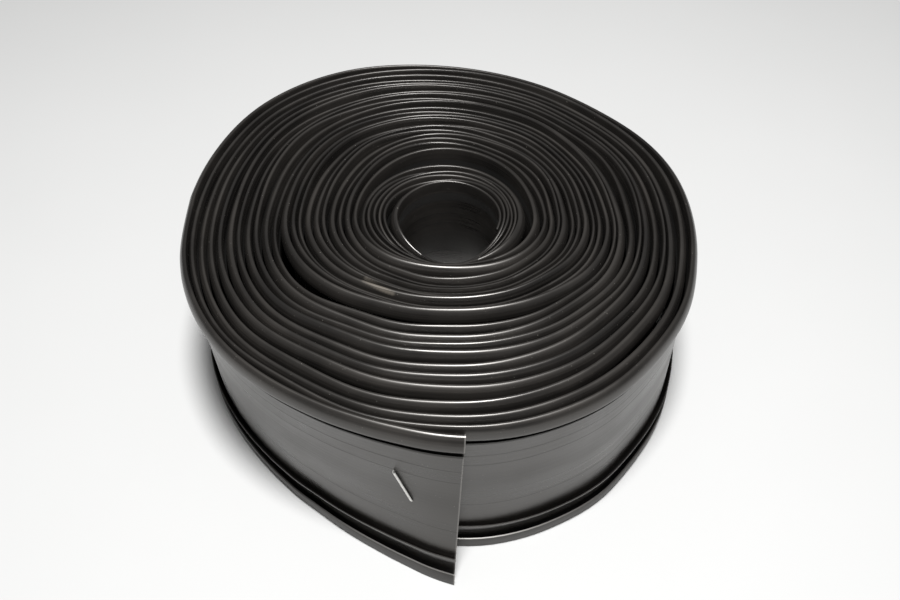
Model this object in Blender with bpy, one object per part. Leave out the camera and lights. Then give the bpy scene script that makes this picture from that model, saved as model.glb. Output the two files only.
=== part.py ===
"""Flat soaker hose, coiled on edge, with its free end stapled through.

The hose is a thin flat strip with a raised rib along each edge, wound on edge into a roll
that stands on its lower ribs. Three solids stand for it: the wound roll as one plain solid
of its outer shape, the free end that leaves the roll, and the wire staple near the cut.
Units are metres, +Z is up and runs along the roll's axis.
"""
import math

import bmesh
import bpy
from mathutils import Matrix, Vector

OBJECT_NAME = "soaker_hose"

# The strip
HOSE_WIDTH = 0.060         # from rib to rib, which is the roll's height
WEB_THICKNESS = 0.00065    # the thin wall between the ribs
RIB_DEPTH = 0.0012         # how far a rib stands out of the web's outer face
TOP_RIB_HEIGHT = 0.0050
FOOT_RIB_HEIGHT = 0.0045

# The roll
ROLL_RADIUS = 0.080        # mean radius of the winding
EYE_RADIUS = 0.0145        # the open middle
EYE_OFFSET = (0.0040, 0.0004)   # the winding is thickest towards the left
OUTLINE_STEP_DEG = 4.0
EYE_SEGMENTS = 48

# The free end
TAIL_ROOT_DEG = 190.0      # where it leaves the roll, counted from +X towards +Y
TAIL_STEP_DEG = 3.3
FIT_GAP = 0.0003           # clearance between neighbouring solids

# The staple
STAPLE_CROWN = 0.0120
STAPLE_CLINCH = 0.0035     # length of each folded-over leg end
STAPLE_WIRE_RADIUS = 0.00036
STAPLE_FROM_CUT = 0.0181   # crown's middle to the cut end, along the strip
STAPLE_ABOVE_MIDDLE = 0.0056
STAPLE_SLANT_DEG = 63.0    # crown's fall below the strip's length

# Last turn's outer edge: degrees past the tail's root, and metres off the mean radius.
# The roll isn't round: it bulges at the back left and is flat at the back right. It ends
# a strip's depth further out than it starts, because the tail lies on its first part.
LAST_TURN_END = -0.0019
LAST_TURN = (
    (0, LAST_TURN_END - FIT_GAP - WEB_THICKNESS - RIB_DEPTH),
    (20, -0.0036), (32, -0.0035), (44, -0.0037), (54, -0.0037), (64, -0.0031),
    (72, -0.0022), (80, -0.0008), (88, 0.0003), (100, 0.0010), (116, 0.0012), (132, 0.0010),
    (150, 0.0006), (170, -0.0002), (190, -0.0013), (210, -0.0024), (230, -0.0033),
    (243, -0.0027), (254, -0.0012), (264, 0.0009), (275, 0.0029), (286, 0.0038),
    (297, 0.0037), (308, 0.0021), (319, 0.0003), (330, -0.0011), (341, -0.0018),
    (360, LAST_TURN_END),
)

# The free end's route: degrees past its root, how far its middle stands off the roll
# beyond the fit gap, and how far its lower edge stands out past its upper edge.
TAIL_ROUTE = (
    (0.0, 0.0000, 0.0000), (24.0, 0.0001, 0.0000), (44.0, 0.0001, 0.0000),
    (53.0, 0.0003, 0.0003), (59.0, 0.0010, 0.0016), (64.0, 0.0017, 0.0031),
    (69.0, 0.0025, 0.0046), (73.0, 0.0032, 0.0060), (77.0, 0.0040, 0.0075),
    (81.0, 0.0049, 0.0092), (85.8, 0.0060, 0.0113),
)


def smooth_value(knots, x, column=1):
    """Read a smooth curve through the knots at x, with slopes taken from their neighbours."""
    last = len(knots) - 1
    slopes = []
    for i in range(last + 1):
        before, after = knots[max(i - 1, 0)], knots[min(i + 1, last)]
        slopes.append((after[column] - before[column]) / (after[0] - before[0]))
    i = 0
    while i < last - 1 and x > knots[i + 1][0]:
        i += 1
    span = knots[i + 1][0] - knots[i][0]
    t = min(max((x - knots[i][0]) / span, 0.0), 1.0)
    start, end = knots[i][column], knots[i + 1][column]
    return (
        start * (1 + 2 * t) * (1 - t) ** 2 + slopes[i] * span * t * (1 - t) ** 2
        + end * t * t * (3 - 2 * t) - slopes[i + 1] * span * t * t * (1 - t)
    )


def roll_radius(past_root_deg):
    """Outer radius of the roll, at an angle counted from the tail's root."""
    return ROLL_RADIUS + smooth_value(LAST_TURN, past_root_deg)


def polar(radius, past_root_deg):
    """Plan position on a circle round the roll's axis."""
    angle = math.radians(TAIL_ROOT_DEG + past_root_deg)
    return Vector((radius * math.cos(angle), radius * math.sin(angle), 0.0))


def make_material(name, color, roughness, metallic):
    """Make a plain Principled material."""
    material = bpy.data.materials.new(name)
    material.use_nodes = True
    shader = material.node_tree.nodes["Principled BSDF"]
    shader.inputs["Base Color"].default_value = (*color, 1.0)
    shader.inputs["Roughness"].default_value = roughness
    shader.inputs["Metallic"].default_value = metallic
    return material


def add_poly_spline(curve, points, closed):
    """Add a straight-sided spline through the points."""
    spline = curve.splines.new("POLY")
    spline.points.add(len(points) - 1)
    for spline_point, point in zip(spline.points, points):
        spline_point.co = (*point, 1.0)
    spline.use_cyclic_u = closed
    return spline


def curve_to_mesh_object(curve_object, collection):
    """Turn a curve into a mesh object whose end caps are welded on."""
    bpy.context.view_layer.update()
    evaluated = curve_object.evaluated_get(bpy.context.evaluated_depsgraph_get())
    mesh = bpy.data.meshes.new_from_object(evaluated)
    name, matrix = curve_object.name, curve_object.matrix_world.copy()
    bpy.data.objects.remove(curve_object)
    mesh.name = name
    solid = bmesh.new()
    solid.from_mesh(mesh)
    bmesh.ops.remove_doubles(solid, verts=solid.verts, dist=1e-6)
    solid.to_mesh(mesh)
    solid.free()
    result = bpy.data.objects.new(name, mesh)
    result.matrix_world = matrix
    collection.objects.link(result)
    return result


def make_roll(collection, material):
    """The wound turns as one plain solid: the last turn's outline, less the open middle."""
    steps = round(360.0 / OUTLINE_STEP_DEG)
    turns = [360.0 * i / steps for i in range(steps + 1)]
    outline = [polar(roll_radius(turn), turn) for turn in turns]
    eye_angles = [2 * math.pi * i / EYE_SEGMENTS for i in range(EYE_SEGMENTS)]
    eye = [
        Vector((EYE_OFFSET[0] + EYE_RADIUS * math.cos(a), EYE_OFFSET[1] + EYE_RADIUS * math.sin(a), 0.0))
        for a in eye_angles
    ]
    curve = bpy.data.curves.new("hose_roll", "CURVE")
    curve.dimensions = "2D"
    curve.fill_mode = "BOTH"
    curve.extrude = HOSE_WIDTH / 2
    add_poly_spline(curve, outline, closed=True)
    add_poly_spline(curve, eye, closed=True)
    roll = bpy.data.objects.new("hose_roll", curve)
    roll.location.z = HOSE_WIDTH / 2
    collection.objects.link(roll)
    roll = curve_to_mesh_object(roll, collection)
    roll.data.materials.append(material)
    return roll


def strip_section():
    """Cross-section of the strip: x points out of its outer face, y up its width."""
    inner, outer, rib = -WEB_THICKNESS / 2, WEB_THICKNESS / 2, WEB_THICKNESS / 2 + RIB_DEPTH
    foot, top = -HOSE_WIDTH / 2, HOSE_WIDTH / 2
    return [
        (inner, top), (rib, top), (rib, top - TOP_RIB_HEIGHT), (outer, top - TOP_RIB_HEIGHT),
        (outer, foot + FOOT_RIB_HEIGHT), (rib, foot + FOOT_RIB_HEIGHT), (rib, foot), (inner, foot),
    ]


def tail_state(past_root_deg):
    """The tail's middle line and its lean, at an angle past its root."""
    lean = math.asin(smooth_value(TAIL_ROUTE, past_root_deg, 2) / HOSE_WIDTH)
    radius = (
        roll_radius(past_root_deg) + FIT_GAP + WEB_THICKNESS / 2
        + smooth_value(TAIL_ROUTE, past_root_deg, 1)
    )
    middle = polar(radius, past_root_deg)
    rib_reach = WEB_THICKNESS / 2 + RIB_DEPTH
    middle.z = HOSE_WIDTH / 2 * math.cos(lean) + rib_reach * abs(math.sin(lean))
    return middle, lean


def tail_stations():
    """Angles past the root at which the tail is built, a fit gap clear of the roll's end face."""
    start = math.degrees(FIT_GAP / ROLL_RADIUS)
    end = TAIL_ROUTE[-1][0]
    count = round((end - start) / TAIL_STEP_DEG)
    return [start + (end - start) * i / count for i in range(count + 1)]


def tail_frame(distance_from_cut, height_from_middle):
    """A frame on the web's middle surface: x along the strip, y up its width, z out of it."""
    fine = [TAIL_ROUTE[-1][0] * i / 400 for i in range(401)]
    left = distance_from_cut
    position = tail_state(fine[-1])[0]
    here = fine[-1]
    for angle in reversed(fine[:-1]):
        step = (tail_state(angle)[0] - position).length
        if step > left:
            break
        left -= step
        here, position = angle, tail_state(angle)[0]
    middle, lean = tail_state(here)
    along = (tail_state(here + 0.5)[0] - tail_state(here - 0.5)[0]).normalized()
    along.z = 0.0
    along.normalize()
    flat_out = along.cross(Vector((0, 0, 1)))
    up = (Vector((0, 0, 1)) * math.cos(lean) - flat_out * math.sin(lean)).normalized()
    out = along.cross(up)
    origin = middle + up * height_from_middle
    return Matrix((
        (along.x, up.x, out.x, origin.x),
        (along.y, up.y, out.y, origin.y),
        (along.z, up.z, out.z, origin.z),
        (0, 0, 0, 1),
    ))


def staple_placement():
    """The staple's frame: x along its crown, z out of the strip's outer face."""
    frame = tail_frame(STAPLE_FROM_CUT, STAPLE_ABOVE_MIDDLE)
    return frame @ Matrix.Rotation(-math.radians(STAPLE_SLANT_DEG), 4, "Z")


def make_tail(collection, cutters, material):
    """The free end, swept along its route and leaning out at its foot, with two staple holes."""
    section_curve = bpy.data.curves.new("strip_section", "CURVE")
    section_curve.dimensions = "2D"
    add_poly_spline(section_curve, [(x, y, 0.0) for x, y in strip_section()], closed=True)
    section = bpy.data.objects.new("strip_section", section_curve)
    section.hide_render = True
    section.display_type = "WIRE"
    cutters.objects.link(section)

    states = [tail_state(angle) for angle in tail_stations()]
    curve = bpy.data.curves.new("hose_tail", "CURVE")
    curve.dimensions = "3D"
    curve.twist_mode = "Z_UP"
    curve.bevel_mode = "OBJECT"
    curve.bevel_object = section
    curve.use_fill_caps = True
    spline = add_poly_spline(curve, [middle for middle, lean in states], closed=False)
    for spline_point, (middle, lean) in zip(spline.points, states):
        spline_point.tilt = -lean
    tail = bpy.data.objects.new("hose_tail", curve)
    collection.objects.link(tail)
    tail = curve_to_mesh_object(tail, collection)
    tail.data.materials.append(material)

    for side in (-1, 1):
        bpy.ops.mesh.primitive_cylinder_add(
            vertices=10, radius=STAPLE_WIRE_RADIUS + FIT_GAP, depth=4 * (WEB_THICKNESS + RIB_DEPTH),
        )
        cutter = bpy.context.object
        cutter.name = f"staple_hole_cutter_{(side + 3) // 2}"
        cutter.matrix_world = staple_placement() @ Matrix.Translation((side * STAPLE_CROWN / 2, 0, 0))
        cutter.hide_render = True
        cutter.display_type = "WIRE"
        for owner in cutter.users_collection:
            owner.objects.unlink(cutter)
        cutters.objects.link(cutter)
        hole = tail.modifiers.new(cutter.name, "BOOLEAN")
        hole.operation = "DIFFERENCE"
        hole.solver = "EXACT"
        hole.object = cutter
    return tail


def make_staple(collection, material):
    """A wire staple: crown outside the strip, legs through it, ends folded in behind it."""
    clear = WEB_THICKNESS / 2 + FIT_GAP + STAPLE_WIRE_RADIUS
    half = STAPLE_CROWN / 2
    bend = 1.4 * STAPLE_WIRE_RADIUS
    half_path = [
        Vector((half - STAPLE_CLINCH, 0, -clear)),
        Vector((half - bend, 0, -clear)),
        Vector((half - 0.3 * bend, 0, -clear + 0.3 * bend)),
        Vector((half, 0, -clear + bend)),
        Vector((half, 0, clear - bend)),
        Vector((half - 0.3 * bend, 0, clear - 0.3 * bend)),
        Vector((half - bend, 0, clear)),
    ]
    path = half_path + [Vector((-p.x, p.y, p.z)) for p in reversed(half_path)]
    curve = bpy.data.curves.new("staple", "CURVE")
    curve.dimensions = "3D"
    curve.bevel_depth = STAPLE_WIRE_RADIUS
    curve.bevel_resolution = 2
    curve.use_fill_caps = True
    add_poly_spline(curve, path, closed=False)
    curve.materials.append(material)
    staple = bpy.data.objects.new("staple", curve)
    staple.matrix_world = staple_placement()
    collection.objects.link(staple)
    return staple


def centre_on_base(pieces, carrier):
    """Put the origin at the middle of the foot of the box round the pieces."""
    bpy.context.view_layer.update()
    depsgraph = bpy.context.evaluated_depsgraph_get()
    corners = []
    for piece in pieces:
        evaluated = piece.evaluated_get(depsgraph)
        mesh = evaluated.to_mesh()
        corners += [piece.matrix_world @ vertex.co for vertex in mesh.vertices]
        evaluated.to_mesh_clear()
    low = Vector([min(corner[axis] for corner in corners) for axis in range(3)])
    high = Vector([max(corner[axis] for corner in corners) for axis in range(3)])
    carrier.location = (-(low.x + high.x) / 2, -(low.y + high.y) / 2, -low.z)


def main():
    for old in list(bpy.data.objects):
        bpy.data.objects.remove(old)
    parts = bpy.data.collections.new(OBJECT_NAME)
    cutters = bpy.data.collections.new("cutters")
    bpy.context.scene.collection.children.link(parts)
    bpy.context.scene.collection.children.link(cutters)

    pieces = [
        make_roll(parts, make_material("roll_black", (0.020, 0.019, 0.020), 0.45, 0.0)),
        make_tail(parts, cutters, make_material("tail_black", (0.030, 0.028, 0.029), 0.40, 0.0)),
        make_staple(parts, make_material("staple_steel", (0.72, 0.72, 0.70), 0.25, 1.0)),
    ]
    carrier = bpy.data.objects.new("base", None)
    parts.objects.link(carrier)
    centre_on_base(pieces, carrier)
    for item in list(parts.objects) + list(cutters.objects):
        if item is not carrier:
            item.parent = carrier


main()
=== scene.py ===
"""Looks of a flat soaker hose, coiled on edge with its free end stapled.

The hose is one continuous flat strip, with a bead along its upper edge and ledges at its foot.
It starts at the eye, winds outwards in about 27 uneven turns, and ends in a tail that lies
against the roll and flares out at its square cut, where a wire staple goes through it. Units
are metres, in the frame of the CAD model. Lists of gaps and section points are in millimetres,
as noted.
"""

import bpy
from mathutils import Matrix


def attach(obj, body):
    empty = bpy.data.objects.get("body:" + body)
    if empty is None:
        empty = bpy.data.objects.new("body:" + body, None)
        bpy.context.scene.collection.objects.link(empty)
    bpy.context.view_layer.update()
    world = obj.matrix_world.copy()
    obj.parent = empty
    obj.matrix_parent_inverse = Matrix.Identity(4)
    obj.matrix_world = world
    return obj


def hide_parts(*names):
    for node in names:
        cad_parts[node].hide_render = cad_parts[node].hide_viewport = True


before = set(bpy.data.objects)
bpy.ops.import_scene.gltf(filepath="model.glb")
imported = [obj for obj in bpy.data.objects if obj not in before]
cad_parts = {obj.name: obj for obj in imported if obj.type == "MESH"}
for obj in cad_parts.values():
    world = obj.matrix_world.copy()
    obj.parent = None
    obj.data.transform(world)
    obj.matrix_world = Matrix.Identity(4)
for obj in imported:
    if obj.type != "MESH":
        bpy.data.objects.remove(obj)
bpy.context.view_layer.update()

import math

import bmesh
import bpy
import numpy as np
from mathutils import Vector

MM = 0.001

# Camera: above the roll's front and close to it, looking down at it
CAMERA_LOCATION = (0.003271, -0.208715, 0.264064)
CAMERA_TARGET = (0.003271, -0.003632, 0.030)
CAMERA_LENS = 38.22

# The strip
HOSE_WIDTH = 0.060
WEB_THICKNESS = 0.00065
LIP_REACH = 0.0019        # how far a lip stands out of the web where it is free
LIP_REACH_PRESSED = 0.00028
LIP_FILL = 0.74           # share of the room between turns that a lip takes up

# The roll, as the CAD model has it
ROLL_CENTRE = np.array((-0.0008946, 0.0061483))
ROLL_RADIUS = 0.080
TAIL_ROOT_DEG = 190.0
FIT_GAP = 0.0003
RIB_DEPTH = 0.0012
LAST_TURN_END = -0.0019
LAST_TURN = (
    (0, LAST_TURN_END - FIT_GAP - WEB_THICKNESS - RIB_DEPTH),
    (20, -0.0036), (32, -0.0035), (44, -0.0037), (54, -0.0037), (64, -0.0031),
    (72, -0.0022), (80, -0.0008), (88, 0.0003), (100, 0.0010), (116, 0.0012), (132, 0.0010),
    (150, 0.0006), (170, -0.0002), (190, -0.0013), (210, -0.0024), (230, -0.0033),
    (243, -0.0027), (254, -0.0012), (264, 0.0009), (275, 0.0029), (286, 0.0038),
    (297, 0.0037), (308, 0.0021), (319, 0.0003), (330, -0.0011), (341, -0.0018),
    (360, LAST_TURN_END),
)
# The tail's route: degrees past its root, its middle's stand-off, its foot's lean out
TAIL_ROUTE = (
    (0.0, 0.0000, 0.0000), (24.0, 0.0001, 0.0000), (44.0, 0.0001, 0.0000),
    (53.0, 0.0003, 0.0003), (59.0, 0.0010, 0.0016), (64.0, 0.0017, 0.0031),
    (69.0, 0.0025, 0.0046), (73.0, 0.0032, 0.0060), (77.0, 0.0040, 0.0075),
    (81.0, 0.0049, 0.0092), (85.8, 0.0060, 0.0113),
)
TAIL_STEP_DEG = 0.7
# Finer than the CAD model: the tail's foot tucks in at the left, and lags at the cut
TAIL_LEAN = (
    (0.0, -0.0005), (8.0, -0.0014), (16.0, -0.0021), (24.0, -0.0027), (33.0, -0.0027),
    (42.0, -0.0017), (47.0, -0.0008), (53.0, 0.0002), (59.0, 0.0017), (64.0, 0.0032),
    (69.0, 0.0047), (73.0, 0.0061), (77.0, 0.0075), (81.0, 0.0093), (85.8, 0.0113),
)
# How far the tail's foot lags behind its top, along the strip
TAIL_LAG = ((0.0, 0.0), (45.0, 0.0), (66.0, 0.0014), (85.8, 0.0040))

# Steps over which the winding, its last stretch and the tail run into one another
BRIDGE_STEP_DEG = 2.0
JOIN_BEFORE = 6
JOIN_AFTER = 12
JOIN_ROUNDS = 30
LEAN_EASE = 8
LEAN_ROUNDS = 20
REACH_EASE = 4
DROP_FADE = 40
TAIL_MARGIN_DEG = 3.0

# The winding: it starts at the eye and runs anticlockwise, seen from above
HUB = np.array((0.00307, 0.00642))
START_DEG = -21.0
STEPS_PER_TURN = 144
EYE_HALF_AXES = (0.0156, 0.0145)
PACKED_PITCH = 0.00098
ROOT_TURN = 26 + (TAIL_ROOT_DEG - START_DEG) / 360.0
# Spacing of each turn from the next one out, in mm: at the front, right, back and left
TURN_GAPS = (
    (1.0, 1.3, 1.3, 3.7), (1.0, 1.2, 1.4, 1.5), (1.0, 1.1, 1.5, 1.6), (1.0, 1.2, 1.4, 1.8),
    (1.0, 1.1, 1.9, 1.6), (1.0, 4.9, 8.1, 2.5), (5.7, 3.3, 3.8, 2.2), (2.1, 2.0, 2.2, 2.6),
    (1.1, 2.4, 2.3, 2.2), (1.4, 1.3, 1.3, 2.9), (1.1, 3.1, 2.6, 2.0), (1.1, 1.8, 1.3, 2.6),
    (2.8, 2.0, 2.6, 2.9), (1.1, 2.7, 1.3, 1.8), (1.1, 1.7, 3.2, 2.4), (5.9, 2.5, 1.4, 2.9),
    (2.9, 2.3, 3.6, 2.4), (3.6, 1.4, 1.4, 3.1), (2.8, 3.4, 3.3, 2.4), (3.9, 2.7, 1.4, 3.0),
    (3.8, 1.4, 2.5, 2.3), (3.9, 3.1, 1.5, 3.2), (5.0, 2.8, 2.9, 2.6), (4.3, 1.4, 1.5, 2.9),
    (3.0, 3.3, 3.3, 2.7),
)
# Places where one turn stands further off: its number, direction, half-width, and mm more
WIDE_PLACES = (
    (15, 222.0, 52.0, 2.6), (7, 36.0, 36.0, 1.6), (11, 62.0, 34.0, 1.0), (18, 26.0, 32.0, 1.4),
    (19, 10.0, 28.0, 1.0), (24, 12.0, 34.0, 1.2), (9, 136.0, 36.0, 1.2), (12, 146.0, 32.0, 1.0),
    (17, 152.0, 34.0, 1.0), (21, 128.0, 32.0, 0.8), (22, 318.0, 32.0, 0.5), (13, 322.0, 34.0, 0.5),
)
UNEVENNESS = 0.20         # share by which turns bunch and part between the four sides
# Waves of that bunching: size, waves round the roll, shift per turn, phase
BUNCHING = ((0.50, 3.0, 8.3, 0.0), (0.35, 5.0, 21.7, 1.0), (0.30, 2.0, 14.9, 2.0))
FIRST_UNEVEN_TURN = 5.5   # the turns inside this one lie evenly
SHARE_LIMITS = (-0.9, 1.2)
LEAST_SLACK = 0.00002
STRETCH_REACH = 15        # steps each way over which the fit to the last turn is smoothed
FIT_ROUNDS = 12
GAP_AZIMUTHS = (270.0, 360.0, 90.0, 180.0)
NESTED_GAP = 1.15         # mm: a turn packed closer than this at the front sits lower
NESTED_DROP = 0.0016
NESTED_SHARE = 0.22       # share of a turn, each way, over which it comes back up
SUNK_TURNS = 6            # the innermost turns sink at the front, each below the next one out
SUNK_STEP = 0.00115
# Slow rise and fall of the rims: depth, waves per turn, phase
RIPPLES = ((0.00045, 0.731, 1.1), (0.00035, 2.37, 0.0))
# How far the roll's foot stands out past its top, by direction round the roll
ROLL_LEAN = (
    (0, 0.0010), (30, 0.0006), (90, 0.0), (150, 0.0), (180, -0.0002), (190, -0.0006),
    (198, -0.0014), (206, -0.0021), (214, -0.0027), (223, -0.0027), (232, -0.0017),
    (237, -0.0008), (243, 0.0002), (250, 0.0011), (260, 0.0020), (270, 0.0026),
    (279, 0.0028), (288, 0.0024), (297, 0.0019), (308, 0.0016), (316, 0.0010), (332, 0.0006),
)

# Cross-section of the strip, once round it: half web thicknesses out, lip reaches out,
# and mm up the width
SECTION = (
    (-1.0, 0.00, 0.45), (-0.6, 0.00, 0.05), (0.3, 0.10, 0.00), (1.0, 0.60, 0.00),
    (1.0, 0.78, 0.15), (1.0, 0.84, 0.60), (1.0, 1.00, 4.20), (1.0, 0.93, 4.60),
    (1.0, 0.72, 4.70), (1.0, 0.60, 4.40), (1.0, 0.60, 1.10), (1.0, 0.30, 0.75),
    (1.0, 0.00, 0.90), (1.0, 0.00, 7.70), (1.0, 0.85, 11.20), (1.0, 0.85, 11.60),
    (1.0, 0.68, 11.60), (1.0, 0.00, 8.70), (1.0, 0.00, 50.60),
    (1.0, 0.42, 52.60), (1.0, 0.42, 52.90), (1.0, 0.33, 52.90), (1.0, 0.00, 51.20),
    (1.0, 0.00, 53.50), (1.0, 0.90, 55.15), (1.0, 0.98, 55.50), (1.0, 1.00, 55.90),
    (1.0, 0.98, 56.60), (1.0, 0.90, 57.50), (1.0, 0.77, 58.30), (1.0, 0.57, 59.05),
    (1.0, 0.33, 59.60), (1.0, 0.10, 59.93), (0.2, 0.00, 60.00), (-0.5, 0.00, 59.88),
    (-1.0, 0.00, 59.40),
)

# Pale marks on the rims: middle and radius of each nick, and a long scuff's two ends
NICKS = (
    ((0.0126, -0.0658, 0.0597), 0.0012), ((0.0355, 0.0718, 0.0597), 0.0018),
    ((-0.0677, -0.0409, 0.0597), 0.0014),
)
SCUFF_ENDS = ((-0.0214, -0.0212, 0.0590), (-0.0136, -0.0262, 0.0586))
SCUFF_STEPS = 10
SCUFF_RADIUS = 0.0014


# Looks
PLASTIC_DARK = (0.0090, 0.0084, 0.0080, 1)
PLASTIC_PALE = (0.0360, 0.0322, 0.0288, 1)
# painted shade: colour for the web just under the bead and for the foot's ledges
PLASTIC_SHADOWED = (0.0035, 0.0034, 0.0034, 1)
PLASTIC_DRAWN = (0.0070, 0.0064, 0.0060, 1)
DUST = (0.20, 0.19, 0.17, 1)
SCUFFED = (0.17, 0.15, 0.125, 1)
# painted highlight: pale colour along the cut end of the strip
CUT_HIGHLIGHT = (0.22, 0.21, 0.20, 1)
PLASTIC_IOR = 1.75
PLASTIC_SPECULAR_TINT = (1.0, 0.965, 0.925, 1)
DRAWN_LINES = ((0.0462, 0.0004), (0.0418, 0.0004), (0.0218, 0.0003))   # height, half width
MIDDLE_BAND = (0.0330, 0.0075)
STEEL_DARK = (0.62, 0.61, 0.58, 1)
STEEL_BRIGHT = (0.88, 0.87, 0.85, 1)
STEEL_PIT = (0.22, 0.20, 0.17, 1)
FLOOR_SIZE = 6.0
FLOOR_TINTS = ((0.73, 0.732, 0.725, 1), (0.755, 0.755, 0.75, 1))
LAMP_LOCATION = (0.022, -0.12, 0.72)
LAMP_TARGET = (0.0, 0.0, 0.03)
LAMP_SIZE = 0.15
LAMP_ENERGY = 6.3
SURROUND_COLOR = (0.98, 0.98, 0.98, 1)
SURROUND_STRENGTH = 0.16
SHARP_EDGE_DEG = 46


def smooth_values(knots, x, column=1):
    """Read a smooth curve through the knots, with slopes taken from their neighbours."""
    table = np.array([(knot[0], knot[column]) for knot in knots], float)
    last = len(table) - 1
    after = table[np.minimum(np.arange(last + 1) + 1, last)]
    before = table[np.maximum(np.arange(last + 1) - 1, 0)]
    slopes = (after[:, 1] - before[:, 1]) / (after[:, 0] - before[:, 0])
    x = np.asarray(x, float)
    i = np.clip(np.searchsorted(table[:, 0], x, side="right") - 1, 0, last - 1)
    span = table[i + 1, 0] - table[i, 0]
    t = np.clip((x - table[i, 0]) / span, 0.0, 1.0)
    return (
        table[i, 1] * (1 + 2 * t) * (1 - t) ** 2 + slopes[i] * span * t * (1 - t) ** 2
        + table[i + 1, 1] * t * t * (3 - 2 * t) - slopes[i + 1] * span * t * t * (1 - t)
    )


def roll_radius(past_root_deg):
    """Outer radius of the roll, at an angle counted from the tail's root."""
    return ROLL_RADIUS + smooth_values(LAST_TURN, past_root_deg)


def directions(angles_deg):
    """Unit vectors in plan at the angles."""
    angles = np.radians(angles_deg)
    return np.stack([np.cos(angles), np.sin(angles)], -1)


def azimuths(points):
    """Direction of plan points from the roll's centre, in degrees."""
    offset = points - ROLL_CENTRE
    return np.degrees(np.arctan2(offset[:, 1], offset[:, 0]))


def clear_spacing(turn):
    """Spacing of each place on the winding from the next turn out."""
    spacing = np.zeros_like(turn)
    table = np.array(TURN_GAPS) * MM
    for column, azimuth in enumerate(GAP_AZIMUTHS):
        phase = ((azimuth - START_DEG) / 360.0) % 1.0
        nearest = np.round(turn - phase)
        off = turn - phase - nearest
        weight = np.where(np.abs(off) < 0.25, np.cos(2 * np.pi * off) ** 2, 0.0)
        row = np.clip(nearest.astype(int), 0, len(table) - 1)
        spacing += weight * table[row, column]
    theta = START_DEG + 360.0 * turn
    for number, azimuth, half_width, extra in WIDE_PLACES:
        off = theta - START_DEG - 360.0 * number - (azimuth - START_DEG) % 360.0
        bump = np.cos(np.pi * off / half_width / 2) ** 2
        spacing += np.where(np.abs(off) < half_width, bump, 0.0) * extra * MM
    angle = np.radians(theta)
    bunching = sum(
        size * np.sin(around * angle + per_turn * turn + phase)
        for size, around, per_turn, phase in BUNCHING
    )
    share = UNEVENNESS * np.sin(2 * angle) ** 2 * bunching * np.clip(turn - FIRST_UNEVEN_TURN, 0, 1)
    return spacing + (spacing - PACKED_PITCH) * np.clip(share, *SHARE_LIMITS)


def last_turn_radii(theta):
    """Distance from the hub to the last turn's web, at angles round the hub."""
    radii = np.full_like(theta, ROLL_RADIUS)
    past = (theta - TAIL_ROOT_DEG) % 360.0
    for _ in range(FIT_ROUNDS):
        points = HUB + directions(theta) * radii[:, None]
        away = np.hypot(*(points - ROLL_CENTRE).T)
        angle = (azimuths(points) - TAIL_ROOT_DEG) % 360.0
        angle = np.where(angle - past > 180, angle - 360, angle)
        angle = np.where(angle - past < -180, angle + 360, angle)
        target = roll_radius(np.clip(angle, 0, 360)) - RIB_DEPTH - WEB_THICKNESS / 2
        radii = radii + target - away
    return radii


def winding():
    """Plan points of the web from the eye to the tail's root, with the spacing outside each."""
    n = STEPS_PER_TURN
    count = round(ROOT_TURN * n)
    turn = np.arange(count + 1) / n
    theta = START_DEG + 360.0 * turn
    first = directions(theta[:n]) / np.array(EYE_HALF_AXES)
    packed = np.zeros(count + 1)
    slack = np.zeros(count + 1)
    spacing = clear_spacing(turn)
    packed[:n] = 1 / np.hypot(*first.T)
    for i in range(n, count + 1):
        packed[i] = packed[i - n] + PACKED_PITCH
        slack[i] = slack[i - n] + max(spacing[i - n] - PACKED_PITCH, LEAST_SLACK)
    growth = np.resize((PACKED_PITCH + slack[n]) * turn[:n], count + 1)
    last = slice(count - n, count)
    stretch = (last_turn_radii(theta[last]) - packed[last] - growth[last]) / slack[last]
    reach = STRETCH_REACH
    window = np.hanning(2 * reach + 1)
    around = np.concatenate([stretch[-reach:], stretch, stretch[:reach]])
    stretch = np.convolve(around, window / window.sum(), "valid")
    radii = packed + growth + slack * stretch[(np.arange(count + 1) - count) % n]
    points = HUB + directions(theta) * radii[:, None]
    outside = np.full(count + 1, np.nan)
    outside[: count + 1 - n] = radii[n:] - radii[: count + 1 - n]
    return points, outside, turn, theta


def nested_drop(turn):
    """How far each place on the winding sits below its neighbours: packed turns at the front."""
    phase = ((GAP_AZIMUTHS[0] - START_DEG) / 360.0) % 1.0
    nearest = np.round(turn - phase)
    off = turn - phase - nearest
    front = np.array(TURN_GAPS)[:, 0]
    row = np.clip(nearest.astype(int), 0, len(front) - 1)
    nested = (front[row] < NESTED_GAP) & (nearest < len(front)) & (nearest >= SUNK_TURNS)
    window = np.where(np.abs(off) < NESTED_SHARE, np.cos(np.pi * off / NESTED_SHARE / 2) ** 2, 0.0)
    drop = np.where(nested, NESTED_DROP * window, 0.0)
    depth = SUNK_STEP * np.clip(SUNK_TURNS - nearest, 0, SUNK_TURNS)
    drop += depth * np.where(np.abs(off) < 0.25, np.cos(2 * np.pi * off) ** 2, 0.0)
    for depth, rate, phase in RIPPLES:
        drop += depth * (1 + np.sin(2 * np.pi * rate * turn + phase))
    return drop


def tail_top(past):
    """Plan points of the tail's web at its upper edge."""
    lean = smooth_values(TAIL_ROUTE, past, 2)
    middle = roll_radius(past) + FIT_GAP + WEB_THICKNESS / 2 + smooth_values(TAIL_ROUTE, past)
    return ROLL_CENTRE + directions(TAIL_ROOT_DEG + past) * (middle - lean / 2)[:, None]


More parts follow.
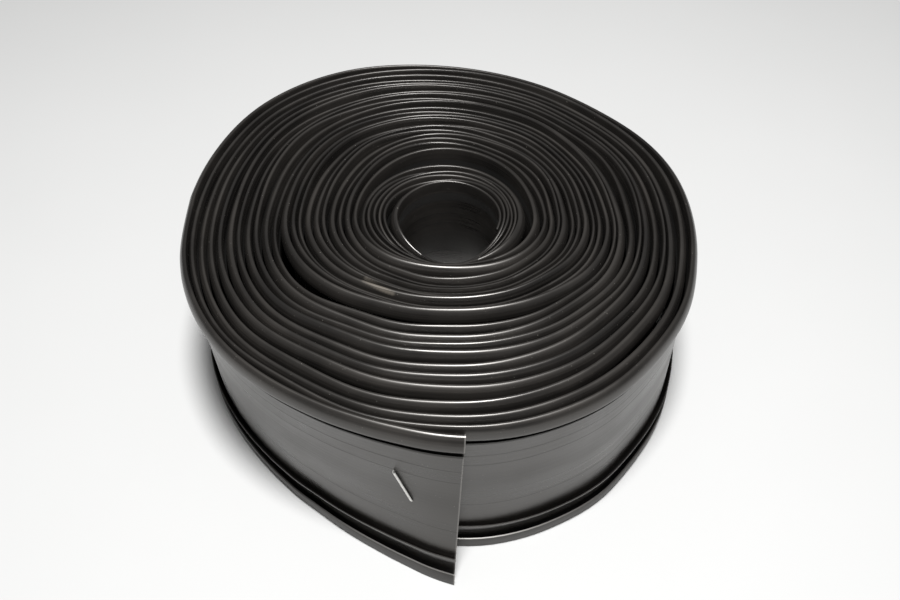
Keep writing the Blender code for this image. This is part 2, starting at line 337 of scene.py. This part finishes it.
def strip_route():
    """The whole strip's route: plan points of its top and its foot, lip reach, and drop."""
    points, outside, turn, theta = winding()
    end_past = (azimuths(points[-1:])[0] - TAIL_ROOT_DEG) % 360.0
    bridge = np.arange(end_past + BRIDGE_STEP_DEG, 360.0, BRIDGE_STEP_DEG)
    bridge_radius = roll_radius(bridge) - RIB_DEPTH - WEB_THICKNESS / 2
    bridge_points = ROLL_CENTRE + directions(TAIL_ROOT_DEG + bridge) * bridge_radius[:, None]
    past = np.linspace(0.0, TAIL_ROUTE[-1][0], round(TAIL_ROUTE[-1][0] / TAIL_STEP_DEG) + 1)
    tail_points = tail_top(past)

    top = np.concatenate([points, bridge_points, tail_points])
    # ease the join between the winding and the tail
    first, last = len(points) - JOIN_BEFORE, len(points) + len(bridge) + JOIN_AFTER
    for _ in range(JOIN_ROUNDS):
        between = (top[first - 1:last - 1] + top[first + 1:last + 1]) / 2
        top[first:last] += 0.5 * (between - top[first:last])

    angle = azimuths(top) % 360.0
    before = tuple((knot[0] - 360.0, knot[1]) for knot in ROLL_LEAN[-2:])
    after = tuple((knot[0] + 360.0, knot[1]) for knot in ROLL_LEAN[:2])
    knots = before + ROLL_LEAN + after
    lean = smooth_values(knots, angle)
    away = np.hypot(*(top - ROLL_CENTRE).T)
    lean = lean * away / ROLL_RADIUS
    own = len(points) + len(bridge)
    lean[own:] = smooth_values(TAIL_LEAN, past)
    first, last = own - LEAN_EASE, own + LEAN_EASE
    for _ in range(LEAN_ROUNDS):
        lean[first:last] = (lean[first - 1:last - 1] + lean[first + 1:last + 1]) / 2
    outward = (top - ROLL_CENTRE) / away[:, None]
    foot = top + outward * lean[:, None]
    onward = np.stack([-outward[own:, 1], outward[own:, 0]], -1)
    foot[own:] -= onward * smooth_values(TAIL_LAG, past)[:, None]

    reach = np.full(len(top), LIP_REACH)
    known = ~np.isnan(outside)
    reach[: len(points)][known] = LIP_FILL * (outside[known] - WEB_THICKNESS)
    last_turn = np.arange(len(points))[~known]
    over = (theta[last_turn] - TAIL_ROOT_DEG) % 360.0
    beneath = last_turn[over < TAIL_ROUTE[-1][0] + TAIL_MARGIN_DEG]
    reach[beneath] = RIB_DEPTH
    reach = np.clip(reach, LIP_REACH_PRESSED, LIP_REACH)
    span = 2 * REACH_EASE + 1
    reach = np.convolve(np.pad(reach, REACH_EASE, "edge"), np.ones(span) / span, "valid")

    drop = np.concatenate([nested_drop(turn), np.zeros(len(top) - len(points))])
    fade = np.ones(len(top))
    fade[len(points) - DROP_FADE:len(points)] = np.linspace(1, 0, DROP_FADE)
    return top, foot, lean, reach, drop * fade


def strip_mesh():
    """Sweep the section along the route as one closed mesh, with length and width as UVs."""
    top, foot, lean, reach, drop = strip_route()
    along = np.gradient(top, axis=0)
    along /= np.hypot(*along.T)[:, None]
    out = np.stack([along[:, 1], -along[:, 0]], -1)
    length = np.concatenate([[0.0], np.cumsum(np.hypot(*np.diff(top, axis=0).T))])
    web, lip, height = np.array(SECTION).T
    share = height * MM / HOSE_WIDTH
    sine = lean / HOSE_WIDTH
    cosine = np.sqrt(1 - sine ** 2)
    offset = web[None, :] * WEB_THICKNESS / 2 + lip[None, :] * reach[:, None]
    plan = top[:, None, :] * share[None, :, None] + foot[:, None, :] * (1 - share)[None, :, None]
    plan = plan + out[:, None, :] * (offset * cosine[:, None])[:, :, None]
    lift = np.where(sine < 0, -sine * (reach + WEB_THICKNESS / 2), sine * WEB_THICKNESS / 2)
    z = share[None, :] * (HOSE_WIDTH * cosine - drop)[:, None] + offset * sine[:, None] + lift[:, None]
    vertices = np.concatenate([plan, z[:, :, None]], 2).reshape(-1, 3)
    rows, columns = z.shape
    index = np.arange(rows * columns).reshape(rows, columns)
    right = np.roll(index, -1, axis=1)
    quads = np.stack([index[:-1], index[1:], right[1:], right[:-1]], -1).reshape(-1, 4)
    faces = [tuple(quad) for quad in quads.tolist()]
    faces.append(tuple(reversed(index[0].tolist())))
    faces.append(tuple(index[-1].tolist()))
    mesh = bpy.data.meshes.new("hose_strip")
    mesh.from_pydata(vertices.tolist(), [], faces)
    layer = mesh.uv_layers.new(name="strip")
    corner = np.empty(len(mesh.loops), dtype=np.int64)
    mesh.loops.foreach_get("vertex_index", corner)
    uv = np.stack([length[corner // columns], height[corner % columns] * MM], -1)
    layer.data.foreach_set("uv", uv.astype(np.float32).ravel())
    clean = bmesh.new()
    clean.from_mesh(mesh)
    bmesh.ops.recalc_face_normals(clean, faces=clean.faces)
    clean.to_mesh(mesh)
    clean.free()
    mesh.shade_smooth()
    mesh.set_sharp_from_angle(angle=math.radians(SHARP_EDGE_DEG))
    strip = bpy.data.objects.new("hose_strip", mesh)
    bpy.context.scene.collection.objects.link(strip)
    return strip, length[-1]


def add_node(tree, kind, inputs=(), **settings):
    """Add a shader node, with settings for it and values or links for its sockets."""
    node = tree.nodes.new(kind)
    for name, value in settings.items():
        setattr(node, name, value)
    for socket, value in dict(inputs).items():
        if isinstance(value, bpy.types.NodeSocket):
            tree.links.new(value, node.inputs[socket])
        else:
            node.inputs[socket].default_value = value
    return node


def math_node(tree, operation, first, second=0.0):
    """One sum in a shader."""
    return add_node(tree, "ShaderNodeMath", {0: first, 1: second}, operation=operation).outputs[0]


def ramp(tree, value, low, high, to_low=0.0, to_high=1.0):
    """Map a value smoothly from one range to another."""
    node = add_node(
        tree, "ShaderNodeMapRange", {0: value, 1: low, 2: high, 3: to_low, 4: to_high},
        interpolation_type="SMOOTHSTEP",
    )
    return node.outputs[0]


def noise(tree, vector, scale, stretch=(1, 1, 1), detail=3.0, roughness=0.55):
    """Noise stretched along the axes of its coordinates."""
    mapped = add_node(tree, "ShaderNodeMapping", {"Vector": vector, "Scale": stretch})
    return add_node(
        tree, "ShaderNodeTexNoise",
        {"Vector": mapped.outputs[0], "Scale": scale, "Detail": detail, "Roughness": roughness},
    ).outputs[0]


def mix_color(tree, factor, first, second):
    """Blend two colours."""
    node = add_node(tree, "ShaderNodeMix", data_type="RGBA")
    for socket, value in ((0, factor), (6, first), (7, second)):
        if isinstance(value, bpy.types.NodeSocket):
            tree.links.new(value, node.inputs[socket])
        else:
            node.inputs[socket].default_value = value
    return node.outputs[2]


def band(tree, value, centre, half_width):
    """1 at a place along a value, falling to 0 at half_width away."""
    away = math_node(tree, "ABSOLUTE", math_node(tree, "SUBTRACT", value, centre))
    return ramp(tree, away, 0.0, half_width, 1.0, 0.0)


def near(tree, position, centre, radius):
    """1 at a point, falling to 0 at radius away."""
    gap = add_node(tree, "ShaderNodeVectorMath", {0: position, 1: centre}, operation="DISTANCE")
    return ramp(tree, gap.outputs["Value"], radius * 0.3, radius, 1.0, 0.0)


def pale_marks():
    """Middle and radius of every pale spot: the nicks, and spots run together as a scuff."""
    start, end = Vector(SCUFF_ENDS[0]), Vector(SCUFF_ENDS[1])
    spots = [start.lerp(end, step / SCUFF_STEPS) for step in range(SCUFF_STEPS + 1)]
    return list(NICKS) + [(tuple(spot), SCUFF_RADIUS) for spot in spots]


def plastic_material(length):
    """Soft black plastic with drawn lines along it, dust, scuffs, painted shade under the bead and
    along the foot, and a painted highlight on the cut end.
    """
    material = bpy.data.materials.new("hose_plastic")
    material.use_nodes = True
    tree = material.node_tree
    shader = tree.nodes["Principled BSDF"]
    place = add_node(tree, "ShaderNodeUVMap", uv_map="strip").outputs[0]
    split = add_node(tree, "ShaderNodeSeparateXYZ", {0: place})
    along, across = split.outputs[0], split.outputs[1]
    position = add_node(tree, "ShaderNodeTexCoord").outputs["Object"]

    streaks = noise(tree, place, 1.0, (9.0, 1400.0, 1.0), 2.0)
    fine_lines = noise(tree, place, 1.0, (1.5, 5200.0, 1.0), 1.0)
    patches = noise(tree, place, 1.0, (34.0, 60.0, 1.0), 4.0)
    grime = noise(tree, position, 900.0, (1, 1, 1), 2.0)
    specks = ramp(tree, noise(tree, position, 2600.0, (1, 1, 1), 0.0), 0.80, 0.86)

    shade = ramp(tree, patches, 0.30, 0.75, 0.0, 0.55)
    shade = math_node(tree, "ADD", shade, ramp(tree, streaks, 0.35, 0.8, 0.0, 0.45))
    tint = mix_color(tree, shade, PLASTIC_DARK, PLASTIC_PALE)
    dusty = math_node(tree, "MULTIPLY", specks, ramp(tree, grime, 0.5, 0.62))
    tint = mix_color(tree, dusty, tint, DUST)
    # painted shade: the web just under the bead and the ledges at the foot are darkened in colour,
    # where the bead and the floor shade them
    above_ledge = ramp(tree, across, 0.0516, 0.0522)
    under_bead = ramp(tree, across, 0.0550, 0.0556, 1.0, 0.0)
    under_lip = math_node(tree, "MULTIPLY", above_ledge, under_bead)
    foot = ramp(tree, across, 0.0040, 0.0052, 1.0, 0.0)
    shadowed = math_node(tree, "MAXIMUM", under_lip, math_node(tree, "MULTIPLY", foot, 0.75))
    tint = mix_color(tree, shadowed, tint, PLASTIC_SHADOWED)
    lines = 0.0
    for centre, half_width in DRAWN_LINES:
        lines = math_node(tree, "ADD", lines, band(tree, across, centre, half_width))
    middle = math_node(tree, "MULTIPLY", band(tree, across, *MIDDLE_BAND), 0.45)
    darker = math_node(tree, "MAXIMUM", math_node(tree, "MULTIPLY", lines, 0.8), middle)
    tint = mix_color(tree, darker, tint, PLASTIC_DRAWN)
    worn = noise(tree, place, 1.0, (110.0, 2600.0, 1.0), 2.0)
    marks = 0.0
    for centre, radius in pale_marks():
        marks = math_node(tree, "MAXIMUM", marks, near(tree, position, centre, radius))
    marks = math_node(tree, "MULTIPLY", marks, ramp(tree, worn, 0.30, 0.60, 0.40, 1.0))
    tint = mix_color(tree, math_node(tree, "MULTIPLY", marks, 0.8), tint, SCUFFED)
    # painted highlight: the last half millimetre of the strip, at its cut, is paled
    cut = ramp(tree, along, length - 0.0005, length - 0.0001)
    tint = mix_color(tree, math_node(tree, "MULTIPLY", cut, 0.8), tint, CUT_HIGHLIGHT)
    tree.links.new(tint, shader.inputs["Base Color"])

    rough_patches = ramp(tree, patches, 0.3, 0.7, 0.24, 0.34)
    gloss = math_node(tree, "ADD", rough_patches, ramp(tree, streaks, 0.3, 0.8, 0.0, 0.08))
    gloss = math_node(tree, "ADD", gloss, math_node(tree, "MULTIPLY", shadowed, 0.30))
    gloss = math_node(tree, "ADD", gloss, math_node(tree, "MULTIPLY", darker, 0.12))
    tree.links.new(gloss, shader.inputs["Roughness"])
    shader.inputs["IOR"].default_value = PLASTIC_IOR
    shader.inputs["Specular Tint"].default_value = PLASTIC_SPECULAR_TINT

    height = math_node(tree, "MULTIPLY", fine_lines, 0.35)
    height = math_node(tree, "ADD", height, math_node(tree, "MULTIPLY", streaks, 0.5))
    height = math_node(tree, "SUBTRACT", height, math_node(tree, "MULTIPLY", lines, 0.9))
    height = math_node(tree, "ADD", height, math_node(tree, "MULTIPLY", grime, 0.15))
    bump = add_node(tree, "ShaderNodeBump", {"Strength": 0.5, "Distance": 0.00006, "Height": height})
    tree.links.new(bump.outputs[0], shader.inputs["Normal"])
    return material


def steel_material():
    """Bright staple wire with fine drawn scratches and a few dull pits."""
    material = bpy.data.materials.new("staple_wire")
    material.use_nodes = True
    tree = material.node_tree
    shader = tree.nodes["Principled BSDF"]
    position = add_node(tree, "ShaderNodeTexCoord").outputs["Object"]
    scratches = noise(tree, position, 1.0, (900.0, 900.0, 9000.0), 3.0)
    pits = ramp(tree, noise(tree, position, 1600.0, (1, 1, 1), 2.0), 0.62, 0.72)
    tint = mix_color(tree, scratches, STEEL_DARK, STEEL_BRIGHT)
    tint = mix_color(tree, pits, tint, STEEL_PIT)
    tree.links.new(tint, shader.inputs["Base Color"])
    gloss = ramp(tree, scratches, 0.3, 0.7, 0.18, 0.34)
    gloss = math_node(tree, "ADD", gloss, math_node(tree, "MULTIPLY", pits, 0.3))
    tree.links.new(gloss, shader.inputs["Roughness"])
    shader.inputs["Metallic"].default_value = 1.0
    bump = add_node(tree, "ShaderNodeBump", {"Strength": 0.4, "Distance": 0.00003, "Height": scratches})
    tree.links.new(bump.outputs[0], shader.inputs["Normal"])
    return material


def make_floor():
    """A wide pale floor with a faint mottle."""
    bpy.ops.mesh.primitive_plane_add(size=FLOOR_SIZE, location=(0, 0, 0))
    floor = bpy.context.object
    floor.name = "floor"
    material = bpy.data.materials.new("floor_pale")
    material.use_nodes = True
    tree = material.node_tree
    shader = tree.nodes["Principled BSDF"]
    position = add_node(tree, "ShaderNodeTexCoord").outputs["Object"]
    tint = mix_color(tree, noise(tree, position, 14.0), *FLOOR_TINTS)
    tree.links.new(tint, shader.inputs["Base Color"])
    shader.inputs["Roughness"].default_value = 0.7
    floor.data.materials.append(material)
    return floor


def make_lights():
    """A dim even surround, and one soft light above the roll."""
    world = bpy.data.worlds.new("surround")
    world.use_nodes = True
    background = world.node_tree.nodes["Background"]
    background.inputs["Color"].default_value = SURROUND_COLOR
    background.inputs["Strength"].default_value = SURROUND_STRENGTH
    bpy.context.scene.world = world
    light = bpy.data.lights.new("overhead", "AREA")
    light.shape = "DISK"
    light.size = LAMP_SIZE
    light.energy = LAMP_ENERGY
    lamp = bpy.data.objects.new("overhead", light)
    lamp.location = LAMP_LOCATION
    look = Vector(LAMP_TARGET) - Vector(LAMP_LOCATION)
    lamp.rotation_euler = look.to_track_quat("-Z", "Y").to_euler()
    bpy.context.scene.collection.objects.link(lamp)


def make_camera():
    """The one view the roll is shown from."""
    data = bpy.data.cameras.new("camera")
    data.lens = CAMERA_LENS
    camera = bpy.data.objects.new("camera", data)
    camera.location = CAMERA_LOCATION
    look = Vector(CAMERA_TARGET) - Vector(CAMERA_LOCATION)
    camera.rotation_euler = look.to_track_quat("-Z", "Y").to_euler()
    bpy.context.scene.collection.objects.link(camera)
    bpy.context.scene.camera = camera


make_camera()
make_lights()
make_floor()
bpy.context.scene.view_settings.view_transform = "Standard"
hose_strip, hose_length = strip_mesh()
hose_strip.data.materials.append(plastic_material(float(hose_length)))
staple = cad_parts["staple"]
staple.data.materials.clear()
staple.data.materials.append(steel_material())
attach(hose_strip, "root")
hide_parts("hose_roll", "hose_tail")
